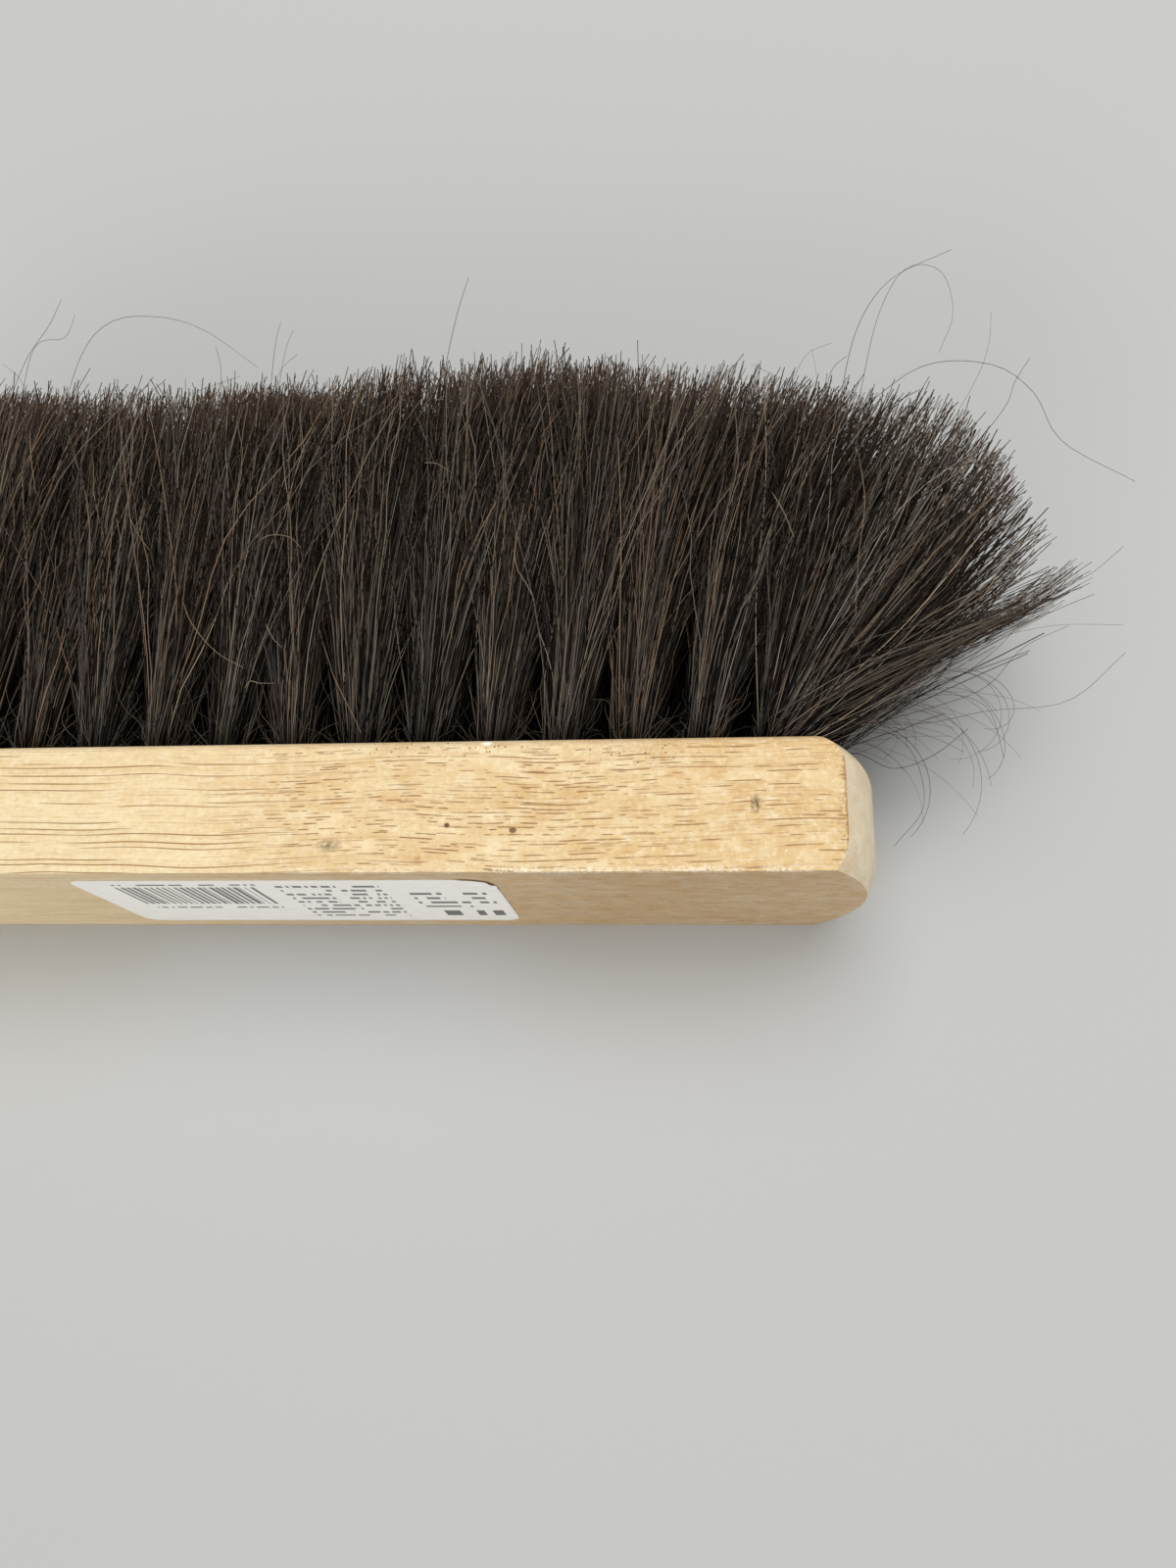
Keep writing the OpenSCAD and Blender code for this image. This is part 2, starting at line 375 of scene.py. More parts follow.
# %% [markdown]
# Use has left marks on the side that faces up: two pin knots, bruises, a white chip, specks of grime where
# flour and fingers meet the bristle edge, and fibres crushed pale along the edge of the back.

# %% Marks of use
upper = work_out("GREATER_THAN", z, block_high.z / MM - 1.0)


def spot(at, reach, softness):
    """A round or long spot on the upper side, in millimetres. A soft one fades towards its rim."""
    far_x = over(minus(x, at[0]), reach[0])
    far_y = over(minus(y, at[1]), reach[1])
    far = work_out("SQRT", plus(times(far_x, far_x), times(far_y, far_y)))
    return times(rise(far, 1.0, 1.0 - softness), upper)


knot = spot(at=(43.7, -3.5), reach=(0.6, 0.55), softness=0.5)
paler_knot = times(spot(at=(54.5, -4.4), reach=(0.75, 0.65), softness=0.4), 0.9)
nose_grime = spot(at=(72.8, 8.8), reach=(12.0, 3.2), softness=1.0)
middle_grime = times(spot(at=(42.0, 9.8), reach=(20.0, 2.2), softness=1.0), 0.8)
edge_grime = greater(nose_grime, middle_grime)
dark_bruise = spot(at=(93.2, -0.3), reach=(1.1, 1.9), softness=0.7)
faint_bruise = times(spot(at=(24.4, -6.7), reach=(2.6, 1.4), softness=1.0), 0.85)
bruise = greater(dark_bruise, faint_bruise)
white_chip = spot(at=(49.6, 10.5), reach=(1.2, 0.5), softness=0.6)

crumbs = add(wood_tree, "TexVoronoi", {"Vector": in_mm, "Scale": 1.3})
dots_of_dirt = times(rise(crumbs.outputs["Distance"], 0.26, 0.14), rise(crumbs.outputs["Color"], 0.5, 0.6))
dirt = plus(times(rise(edge_grime, 0.05, 0.3), dots_of_dirt), times(bruise, rise(specks, 0.40, 0.52)))
back_edge_mm = block_low.y / MM
crushed = times(times(rise(y, back_edge_mm + 1.1, back_edge_mm + 0.5), upper), rise(specks, 0.46, 0.54))
crushed = times(crushed, plus(times(rise(x, 0, 50), 0.55), 0.1))
crushed_places = rise(grain(length=9, width=9, detail=1.0, offset=(4, 9, 2)), 0.4, 0.55)
wood = lay_over(
    wood,
    (greater(knot, paler_knot), linear("6E4012")),
    (times(times(edge_grime, rise(specks, 0.42, 0.62)), 0.5), linear("B58E58")),
    (work_out("MINIMUM", dirt, 0.85), linear("63482A")),
    (white_chip, linear("FFFAEE")),
    (times(crushed, crushed_places), linear("FDF3DC")),
)
print("marks of use on the upper side")

# %% Finish of the wood
relief = minus(times(fibres, 0.3), pore)
wood_bump = add(wood_tree, "Bump", {"Height": relief, "Strength": 0.25, "Distance": 0.1 * MM}).outputs[0]
wood_inputs = {"Base Color": wood, "Roughness": 0.62, "IOR": 1.5, "Normal": wood_bump}
wood_shader = add(wood_tree, "BsdfPrincipled", wood_inputs)
add(wood_tree, "OutputMaterial", {"Surface": wood_shader.outputs[0]})
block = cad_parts["handle_block"]
for material_slot in block.material_slots:
    material_slot.material = wood_material
print("rubberwood on", block.name, "from", len(wood_tree.nodes), "nodes")

# %% [markdown]
# ## Staple wire
# Each tuft is held by a staple of flat galvanised wire at the floor of its bore. They are out of sight, and
# keep their CAD shape: only the metal is set. Zinc dulls to a soft grey with faint spangles a millimetre or
# two wide.

# %% Staple wire
spangle_size = 1.5 * MM
wire_material, wire_tree = blank_material("galvanised_flat_wire")
wire_place = add(wire_tree, "TexCoord").outputs["Object"]
spangle_inputs = {"Vector": wire_place, "Scale": 1 / spangle_size, "Detail": 2.0}
spangle = add(wire_tree, "TexNoise", spangle_inputs).outputs["Fac"]
wire_stops = ((0.35, linear("9DA1A4")), (0.65, linear("B9BDBF")))
wire_colour = add(wire_tree, "ValToRGB", {"Fac": spangle}, stops=wire_stops).outputs["Color"]
wire_inputs = {"Base Color": wire_colour, "Metallic": 1.0, "Roughness": 0.4}
wire_shader = add(wire_tree, "BsdfPrincipled", wire_inputs)
add(wire_tree, "OutputMaterial", {"Surface": wire_shader.outputs[0]})
for material_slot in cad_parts["tuft_staples"].material_slots:
    material_slot.material = wire_material
print("wire on tuft_staples")

# %% [markdown]
# ## Horsehair
# Mane and tail hair is 0.1 to 0.2 mm thick and nearly black, with brown, tan and grey hairs through it. Every
# hair is one colour along its length, but paler at the cut tip, and darker at the root, where painted shade
# stands in for the shade deep in the mass. Some hairs are warm in tint and others cold, and pale ones shine
# more than black ones. So each hair has its own place in a UV map: across the map is the hair's tone, and up
# the map is the way from root to tip. The map's tones go in steps, of which every second one is warm. The
# material only reads that map.

# %% Horsehair material
tone_steps = 64
hair_map = "OFBake"
hair_material, hair_tree = blank_material("horsehair_natural_dark")
map_place = add(hair_tree, "UVMap", uv_map=hair_map).outputs["UV"]
tone, along, _ = add(hair_tree, "SeparateXYZ", {"Vector": map_place}).outputs
tone_colours = {
    0.0: "070605", 0.3: "14120F", 0.5: "393530", 0.62: "574F46", 0.75: "6A5C4D",
    0.86: "796957", 0.93: "857259", 0.97: "8E877B", 1.0: "BFB29C",
}
is_warm = work_out("MODULO", work_out("FLOOR", times(tone, tone_steps)), 2)
cold_tint, warm_tint = [0.83, 0.87, 0.92, 1.0], [0.97, 0.85, 0.75, 1.0]
# What each trait of a hair follows, and the stops of its ramp.
trait_ramps = {
    "dye": (tone, [(place, linear(code)) for place, code in tone_colours.items()]),
    "tint": (is_warm, [(0.1, cold_tint), (0.9, warm_tint)]),
    "bleach": (along, [(0.0, 0.0), (0.25, 0.04), (0.85, 0.1), (1.0, 0.34)]),
    # Painted shade: each hair darkens towards its root, deep in the mass.
    "root shade": (along, [(0.03, 0.3), (0.16, 1.0)]),
    "roughness": (tone, [(0.2, 0.62), (0.7, 0.36)]),
    "gloss": (tone, [(0.25, 0.04), (0.7, 0.5)]),
}
trait = {
    name: add(hair_tree, "ValToRGB", {"Fac": value}, stops=stops).outputs["Color"]
    for name, (value, stops) in trait_ramps.items()
}
hair_colour = lay_over(trait["dye"], (1.0, trait["tint"]), blend="MULTIPLY")
hair_colour = lay_over(hair_colour, (trait["bleach"], linear("725A49")))
hair_colour = lay_over(hair_colour, (1.0, trait["root shade"]), blend="MULTIPLY")
hair_inputs = {"Base Color": hair_colour, "Roughness": trait["roughness"], "IOR": 1.55}
hair_shader = add(hair_tree, "BsdfPrincipled", {**hair_inputs, "Specular IOR Level": trait["gloss"]})
add(hair_tree, "OutputMaterial", {"Surface": hair_shader.outputs[0]})
print("horsehair with", tone_steps, "tones")

# %% [markdown]
# ## One hair, and many bent copies of it
# One straight hair is modelled by hand: a three-sided disc is extruded step by step and narrowed to its tip.
# The brush has tens of thousands of hairs, so the model has only a few faces. Each copy is bent along a path
# of its own: every ring of the model goes to its point on the path, turned across the way the path runs.

# %% Model one hair
def model_hair(name, rings, tip_scale):
    """A straight hair of unit radius and unit length, closed at both ends."""
    deselect_all()
    bpy.ops.mesh.primitive_circle_add(vertices=3, radius=1.0, fill_type="NGON")
    hair = bpy.context.object
    bpy.ops.object.mode_set(mode="EDIT")
    stretches = rings - 1
    narrowing = tip_scale ** (1 / stretches)
    for _ in range(stretches):
        bpy.ops.mesh.extrude_region_move(TRANSFORM_OT_translate={"value": (0, 0, 1 / stretches)})
        bpy.ops.transform.resize(value=(narrowing, narrowing, 1))
    bpy.ops.mesh.select_all(action="SELECT")
    bpy.ops.mesh.normals_make_consistent(inside=False)
    bpy.ops.mesh.quads_convert_to_tris()
    bpy.ops.object.mode_set(mode="OBJECT")
    points = np.array([vertex.co[:] for vertex in hair.data.vertices])
    faces = np.array([face.vertices[:] for face in hair.data.polygons])
    bpy.data.objects.remove(hair)
    print(name, len(points), "points", len(faces), "faces")
    ring = np.rint(points[:, 2] * stretches).astype(int)
    return {"ring": ring, "across": points[:, :2], "faces": faces, "rings": rings}


fine_model = model_hair("fine_model", rings=12, tip_scale=0.88)
bristle_model = model_hair("bristle_model", rings=8, tip_scale=0.88)
inner_model = model_hair("inner_model", rings=7, tip_scale=0.88)
curl_model = model_hair("curl_model", rings=14, tip_scale=0.5)
stray_model = model_hair("stray_model", rings=26, tip_scale=0.6)


# %% Bend copies of the hair
odd_direction = np.array([0.31, 0.17, 0.93])  # no hair runs quite this way
map_step_share = 0.35  # how far a hair reaches from the middle of its own step of the map
map_margin = 0.01


def unit(vectors):
    return vectors / np.maximum(np.linalg.norm(vectors, axis=-1, keepdims=True), 1e-12)


def bent_hairs(model, paths, radii, tones, warm):
    """Points, faces and map places of a copy of the model for each path, of as many points as it has rings."""
    runs = unit(np.gradient(paths, axis=1))
    side = unit(np.cross(runs, odd_direction))
    other = np.cross(runs, side)
    ring, across = model["ring"], model["across"]
    points = (
        paths[:, ring]
        + side[:, ring] * (across[:, 0] * radii[:, None])[..., None]
        + other[:, ring] * (across[:, 1] * radii[:, None])[..., None]
    )
    first = np.arange(len(paths))[:, None, None] * len(ring)
    faces = model["faces"][None] + first
    spread = across[:, 0] / np.abs(across[:, 0]).max()
    steps = np.floor(tones * tone_steps / 2) * 2 + warm
    u = (steps[:, None] + 0.5 + map_step_share * spread[None]) / tone_steps
    v = np.broadcast_to(map_margin + (1 - 2 * map_margin) * ring / (model["rings"] - 1), u.shape)
    return points.reshape(-1, 3), faces.reshape(-1, 3), np.stack([u, v], axis=-1).reshape(-1, 2)


# %% Join hairs into one piece
def hair_piece(name, batches):
    """One mesh piece from batches of bent hairs."""
    first, all_points, all_faces, all_places = 0, [], [], []
    for points, faces, places in batches:
        all_points.append(points)
        all_faces.append(faces + first)
        all_places.append(places)
        first += len(points)
    points, faces, places = (np.concatenate(parts) for parts in (all_points, all_faces, all_places))
    mesh = bpy.data.meshes.new(name)
    mesh.vertices.add(len(points))
    mesh.vertices.foreach_set("co", points.ravel())
    mesh.loops.add(faces.size)
    mesh.loops.foreach_set("vertex_index", faces.ravel())
    mesh.polygons.add(len(faces))
    mesh.polygons.foreach_set("loop_start", np.arange(0, faces.size, 3))
    mesh.polygons.foreach_set("use_smooth", np.ones(len(faces), bool))
    mesh.update(calc_edges=True)
    layer = mesh.uv_layers.new(name=hair_map)
    layer.data.foreach_set("uv", places[faces.ravel()].ravel())
    piece = bpy.data.objects.new(name, mesh)
    bpy.context.scene.collection.objects.link(piece)
    return piece


# %% [markdown]
# ## Where each tuft stands
# Every tuft node is a column of tufts, one over the other. Each is measured on its CAD solid: the middle of
# its root and the middle of its tip give its axis, and where the axis leaves the bristle face is its mouth.

# %% Measure the tufts
root_zone = 5 * MM
tip_zone = 8 * MM
row_gap = 2 * MM


def middle(points):
    """The middle of the places that some points are at, each place counted once."""
    return np.unique(points.round(7), axis=0).mean(axis=0)


def measure_tufts(name):
    """For each tuft of a node, from the table up: its mouth, its axis and its length outside the wood."""
    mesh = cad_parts[name].data
    points = np.empty(len(mesh.vertices) * 3)
    mesh.vertices.foreach_get("co", points)
    points = points.reshape(-1, 3)
    roots = points[points[:, 1] < points[:, 1].min() + root_zone]
    heights = np.unique(roots[:, 2].round(6))
    breaks = np.flatnonzero(np.diff(heights) > row_gap)
    limits = [-1.0, *((heights[breaks] + heights[breaks + 1]) / 2), 1.0]
    tufts = []
    for low, high in zip(limits[:-1], limits[1:]):
        part = points[(points[:, 2] >= low) & (points[:, 2] < high)]
        root = middle(part[part[:, 1] < part[:, 1].min() + root_zone])
        tip = middle(part[part[:, 1] > part[:, 1].max() - tip_zone])
        axis = (tip - root) / np.linalg.norm(tip - root)
        mouth = root + axis * (block_high.y - root[1]) / axis[1]
        tufts.append({"mouth": mouth, "axis": axis, "length": float(np.linalg.norm(tip - mouth))})
    return tufts


tuft_table = {name: measure_tufts(name) for name in tuft_nodes}
first_tuft = tuft_table[tuft_nodes[0]][0]
lean = math.degrees(math.atan2(first_tuft["axis"][0], first_tuft["axis"][1]))
print(sum(len(tufts) for tufts in tuft_table.values()), "tufts, the first at", first_tuft["mouth"].round(4))
print("it leans", round(lean, 1), "degrees and is", round(first_tuft["length"] / MM, 1), "mm long")

# %% [markdown]
# ## The trimmed edge
# The maker combs the brush and trims it to one edge, which runs along the block and turns down round the
# nose. Each hair is grown too long or too short and is then scaled about its root, until its tip reaches that
# edge. Under the brush the hairs lie flat on the table, and over it they hold together at one height.

# %% The edge and the heights
table_clearance = 0.25 * MM
mass_height = block_high.z + 6.0 * MM
# The height of the edge at places along the block, and its reach from a centre at turns round the nose.
trim_places = np.array([-0.12, -0.05, -0.01, 0.015, 0.030, 0.055, 0.075, 0.085])
trim_heights = np.array([0.0838, 0.0838, 0.0834, 0.0820, 0.0865, 0.0864, 0.0848, 0.0828])
trim_centre = np.array([0.085, block_high.y])
trim_turns = np.radians([0, 20, 35, 42, 50, 58, 68, 90])
trim_reaches = np.array([0.0716, 0.0720, 0.0768, 0.0748, 0.0718, 0.0696, 0.0640, 0.0500])
# Above this height the edge is rounded off, by this share of the height above it.
rounded_above = 0.040
rounding = 0.7


def trim_scale(paths, roots):
    """How much each straight hair is scaled about its root for its tip to reach the trimmed edge."""
    tips = paths[:, -1, :2]
    rounded = rounding * np.maximum(np.minimum(paths[:, -1, 2], mass_height) - rounded_above, 0)
    scale = np.ones(len(tips))
    for _ in range(6):
        reached = roots[:, :2] + (tips - roots[:, :2]) * scale[:, None]
        offset = reached - trim_centre
        turn = np.arctan2(offset[:, 0], offset[:, 1])
        beyond = np.linalg.norm(offset, axis=1) / (np.interp(turn, trim_turns, trim_reaches) - rounded)
        height = np.interp(reached[:, 0], trim_places, trim_heights) - rounded
        above = (reached[:, 1] - block_high.y) / (height - block_high.y)
        scale = scale / np.where(offset[:, 0] > 0, beyond, above)
    return scale


def soft_floor(values, level, softness):
    """Values that never go below a level, and bend away from it gently."""
    over_level = (values - level) / softness
    return np.where(over_level > 20, values, level + softness * np.log1p(np.exp(np.minimum(over_level, 20))))


def keep_between(paths):
    """Keeps hairs off the table, along which they lie, and in a mass above it."""
    paths[..., 2] = soft_floor(paths[..., 2], table_clearance, softness=1.5 * MM)
    paths[..., 2] = -soft_floor(-paths[..., 2], -mass_height, softness=1.6 * MM)
    return paths


print("the edge stands", round((trim_heights.max() - block_high.y) / MM, 1), "mm above the wood at most")

# %% [markdown]
# ## Tufts of hair
# A tuft is tight in its bore and fans out fast above it, until it meets its neighbours and runs on almost
# straight. Hairs cling together in small locks towards their tips, which makes the trimmed edge spiky, and
# some cross their neighbours. Over the nose the outer hairs splay wide. Real hairs are finer and more: these
# are up to 0.24 mm thick, so that each of them shows.

# %% Measures of a tuft
bore_radius = 2.6 * MM
fan_radius = 6.9 * MM
root_depth = 2.0 * MM
lock_count = 110
hair_radii_mm = (0.065, 0.12)
# Use has pushed the hair about: each column, from the nose, leaves the wood at its own angle towards the nose
# and bends by another towards its tips.
column_leans = np.radians([32, 9, 3, 9, 6, 4, -4, -3, 2, 5, -3, 0, 1, 2, 2, 1, 0])
column_bends = np.radians([0, 6, 6, -1, 0, 2, 1, 1, 0, 1, 2, 0, 0, 2, 1, 0, 0])
# Over the nose the hairs of the first column fan out: these are the least and greatest angles from upright,
# at the foot and seen from the foot to the tip.
nose_foot_angles = np.radians([2, 53])
nose_tip_angles = np.radians([13, 47])
print(lock_count, "locks in a tuft that fans out to", fan_radius / MM, "mm")


# %% Locks
lock_drift_share = 0.34


def disc_places(count, random):
    """Places spread evenly over a disc of unit radius, and how far out each is."""
    reach = np.sqrt(random.random(count))
    angle = random.random(count) * 2 * math.pi
    return np.stack([reach * np.cos(angle), reach * np.sin(angle)], axis=1), reach


def join_locks(across, random):
    """The nearest lock of each hair, and where that lock's tip has drifted to."""
    lock_places, _ = disc_places(lock_count, random)
    gaps = np.linalg.norm(across[:, None] - lock_places[None], axis=2)
    gaps = gaps + random.random((len(across), lock_count)) * 0.2
    lock = np.argmin(gaps, axis=1)
    drift = random.normal(0, lock_drift_share, (lock_count, 2))
    return lock, lock_places[lock] + drift[lock]


def fan_out(across, lock_tips, own_fan, s, random):
    """Places across the tuft as its hairs fan out and cling. The steps s go from 0 at the root to 1."""
    fan = 1 - (1 - s) ** 1.3
    cling = 0.8 * s**3
    tips = across + random.normal(0, 0.10, across.shape)
    spread = bore_radius * (1 - fan) + own_fan * fan
    return (tips[:, None] * (1 - cling) + lock_tips[:, None] * cling) * spread


# %% Bows and crossings
crossing_share = 0.19
flatness = [1.0, 0.6]  # hairs stray more along the brush than up and down


def let_stray(place, s, length, random):
    """Hairs stand at small angles to each other, bow and weave in and out, and some cross their neighbours."""
    count = len(place)
    crossing = (random.random(count) < crossing_share)[:, None, None]
    tilt = random.normal(0, 1.0, (count, 1, 2)) * flatness * np.where(crossing, 0.18, 0.072) * s**1.5 * length
    bow = random.normal(0, 1.0, (count, 1, 2)) * flatness * np.where(crossing, 5.0 * MM, 2.6 * MM) * s**2
    turns = 2 * math.pi * length / (random.uniform(18, 52, (count, 1, 2)) * MM)
    weave = random.normal(0, 1.0, (count, 1, 2)) * [0.9 * MM, 1.0 * MM]
    weave = weave * np.sin(turns * s + random.random((count, 1, 2)) * 6.3)
    return place + tilt + bow + weave * s**0.7


def splay_over_nose(across, mouth, s, random):
    """Angles from upright of the first column's hairs, which fan out over the nose in a few clumps."""
    share = np.clip(0.45 + 0.42 * across[:, 0] + random.normal(0, 0.08, len(across)), 0, 1)
    share = np.where(random.random(len(across)) < 0.05, 1.2, share)
    clumps = (np.arange(6) + random.uniform(0.25, 0.75, 6)) / 6
    clump = clumps[np.argmin(np.abs(share[:, None] - clumps[None]), axis=1)]
    # The tufts near the table splay less than the upper ones.
    share = (share * 0.55 + clump * 0.45)[:, None, None] * (0.76 + 0.24 * mouth[2] / block_high.z)
    foot_angle = nose_foot_angles[0] + (nose_foot_angles[1] - nose_foot_angles[0]) * share
    tip_angle = nose_tip_angles[0] + (nose_tip_angles[1] - nose_tip_angles[0]) * share
    return foot_angle * (1 - s) + tip_angle * s


# %% Trim and colour the hairs
lock_length_share = 0.022
long_share, short_share = 0.03, 0.16
pale_share, palest_share = 0.035, 0.003


def trim(paths, roots, reach, lock, s, random):
    """Hairs cut to the edge. The tuft is a little rounded, its locks differ, and some hairs end short."""
    count = len(paths)
    lock_length = random.normal(0, lock_length_share, lock_count)
    scale = np.clip(trim_scale(paths, roots), 0.6, 1.2)
    scale *= 1.012 - 0.045 * reach**2
    scale *= 1 + lock_length[lock] - np.abs(random.normal(0, 0.007, count))
    scale *= np.where(random.random(count) < long_share, random.uniform(1.02, 1.05, count), 1.0)
    scale *= np.where(random.random(count) < short_share, random.uniform(0.4, 0.92, count), 1.0)
    start = paths[:, :1]
    return keep_between(start + (paths - start) * (1 + (scale[:, None, None] - 1) * s**0.5))


def hair_tones(across, lock, shade, random):
    """Each hair's tone, and whether it is warm. The tones are scaled by the row's painted shade, and a tuft's
    flanks are darker, painted shade from its neighbours.
    """
    count = len(across)
    lock_tone = random.normal(0, 0.15, lock_count)
    # Painted shade: a tuft's flanks are darkened as if its neighbours shaded them.
    flank = 0.03 - 0.25 * np.abs(across[:, 0]) ** 3
    tones = np.clip(random.beta(1.1, 1.5, count) + lock_tone[lock] + flank, 0, 0.9)
    warm_share = np.clip(random.normal(0.5, 0.28) + random.normal(0, 0.25, lock_count), 0.05, 0.95)
    warm = random.random(count) < warm_share[lock]
    rare = random.random(count)
    tones = np.where(rare < pale_share, random.uniform(0.9, 0.96, count), tones)
    tones = np.where(rare < palest_share, random.uniform(0.965, 0.99, count), tones)
    return np.minimum(tones * shade, 0.99), warm


# %% Grow a tuft
def grow_tuft(tuft, column, random, count, model, shade):
    """The hairs of one tuft. The column counts from the nose, and the shade scales the hairs' tones: below 1 it
    is painted shade, above 1 painted light.
    """
    mouth, length = tuft["mouth"], tuft["length"]
    lean = column_leans[column] + math.radians(random.normal(0, 2.0 if column else 0.0))
    axis = unit(np.array([math.sin(lean), math.cos(lean), math.tan(math.radians(random.normal(0, 1.5)))]))
    sideways = unit(np.cross(axis, [0, 0, 1.0]))
    upright = np.cross(sideways, axis)
    own_fan = fan_radius * random.uniform(0.85, 1.15)

    s = np.linspace(0, 1, model["rings"])[None, :, None]
    across, reach = disc_places(count, random)
    lock, lock_tips = join_locks(across, random)
    place = let_stray(fan_out(across, lock_tips, own_fan, s, random), s, length, random)
    bend = column_bends[column] * s
    if column == 0:
        bend = splay_over_nose(across, mouth, s, random) - lean

    along_hair = s * (length + root_depth) - root_depth
    paths = (
        mouth
        + axis * along_hair * np.cos(bend)
        + sideways * (along_hair * np.sin(bend) + place[..., :1])
        + upright * place[..., 1:]
    )
    roots = np.broadcast_to(mouth - axis * root_depth, (count, 3))
    paths = trim(paths, roots, reach, lock, s, random)
    tones, warm = hair_tones(across, lock, shade, random)
    return bent_hairs(model, paths, random.uniform(*hair_radii_mm, count) * MM, tones, warm)


# %% Grow the fluff at its foot
fluff_radii_mm = (0.03, 0.05)


def grow_fluff(tuft, random, count):
    """Fine short hairs that curl out around the foot of a tuft."""
    mouth, axis = tuft["mouth"], tuft["axis"]
    angle = random.random(count) * 2 * math.pi
    out = np.stack([np.cos(angle), np.zeros(count), np.sin(angle)], axis=1)[:, None]
    s = np.linspace(0, 1, curl_model["rings"])[None, :, None]
    turn = random.uniform(1.0, 4.0, (count, 1, 1))
    phase = random.random((count, 1, 1)) * 6.3
    curl_size = random.uniform(0.6, 2.2, (count, 1, 1)) * MM
    wander = random.normal(0, 1, (count, 1, 3))
    length = random.uniform(6, 20, (count, 1, 1)) * MM
    climb = random.uniform(0.3, 0.95, (count, 1, 1))
    paths = (
        mouth
        + out * bore_radius * 0.95
        + out * length * s * (1.1 - climb) * 0.7
        + axis * length * s * climb
        + unit(wander) * curl_size * np.sin(turn * s * 2 + phase) * s
        + unit(np.roll(wander, 1, axis=2)) * curl_size * np.cos(turn * s * 2 + phase) * s
    )
    above_wood = block_high.y + (0.15 + 0.3 * random.random((count, 1))) * MM
    paths[..., 1] = np.maximum(paths[..., 1], above_wood)
    radii = random.uniform(*fluff_radii_mm, count) * MM
    tones = random.uniform(0.5, 0.9, count)
    return bent_hairs(curl_model, keep_between(paths), radii, tones, random.random(count) < 0.5)


# %% [markdown]
# The outer rows show, and get the most hairs. The inner rows, and a little the row by the table, are darkened
# by painted shade, and the splayed hairs over the nose are paled by painted light. Every tuft node becomes one
# piece of hair, with a random seed of its own.

# %% Grow every tuft
# For each row, from the table up: its hairs in each tuft, their model, their painted shade and its fluff.
row_plans = (
    (480, bristle_model, 0.9, 20),
    (380, inner_model, 0.6, 8),
    (420, inner_model, 0.6, 8),
    (700, fine_model, 1.0, 36),
)
first_seed = 1200
# Painted light: the first column's hairs, splayed over the nose, are paled.
painted_nose_light = 1.12
hair_count = 0
face_count = 0
for column, name in enumerate(tuft_nodes):
    random = np.random.default_rng(first_seed + column)
    batches = []
    for tuft, (count, model, shade, fluff_count) in zip(tuft_table[name], row_plans):
        # Painted shade darkens the rows, and painted light pales the first column.
        own_shade = shade if column else shade * painted_nose_light
        batches.append(grow_tuft(tuft, column, random, count, model, own_shade))
        batches.append(grow_fluff(tuft, random, fluff_count))
        hair_count += count
    piece = hair_piece("hair_" + name, batches)
    dress(piece, hair_material, "horsehair", name)
    face_count += len(piece.data.polygons)
print(hair_count, "bristles", face_count, "triangles")

# %% [markdown]
# ## Stray hairs
# A few long hairs have worked loose and stand out of the mass: some rise from the trimmed edge and curl over,
# others hang below the nose. Each follows a smooth curve through a handful of points. The curve is written
# out here, rather than made with a curve object, so that a stray hair is a bent copy of the model as the
# others are.

# %% Smooth paths
def smooth_path(points, count):
    """Places evenly spread along a smooth curve through the given points."""
    points = np.array(points, float)
    points = np.vstack([2 * points[0] - points[1], points, 2 * points[-1] - points[-2]])
    t = np.linspace(0, 1, 24, endpoint=False)[:, None]
    curve = []
    for a, b, c, d in zip(points, points[1:], points[2:], points[3:]):
        bending = (2 * a - 5 * b + 4 * c - d) * t**2
        turning = (3 * b - a - 3 * c + d) * t**3
        curve.append(0.5 * (2 * b + (c - a) * t + bending + turning))
    curve = np.vstack([*curve, points[-2][None]])
    far = np.concatenate([[0], np.cumsum(np.linalg.norm(np.diff(curve, axis=0), axis=1))])
    spread = np.linspace(0, far[-1], count)
    return np.stack([np.interp(spread, far, curve[:, i]) for i in range(3)], axis=1)


def thinned(path):
    """As many places of a path as the stray hair's model has rings."""
    return path[np.linspace(0, len(path) - 1, stray_model["rings"]).astype(int)]


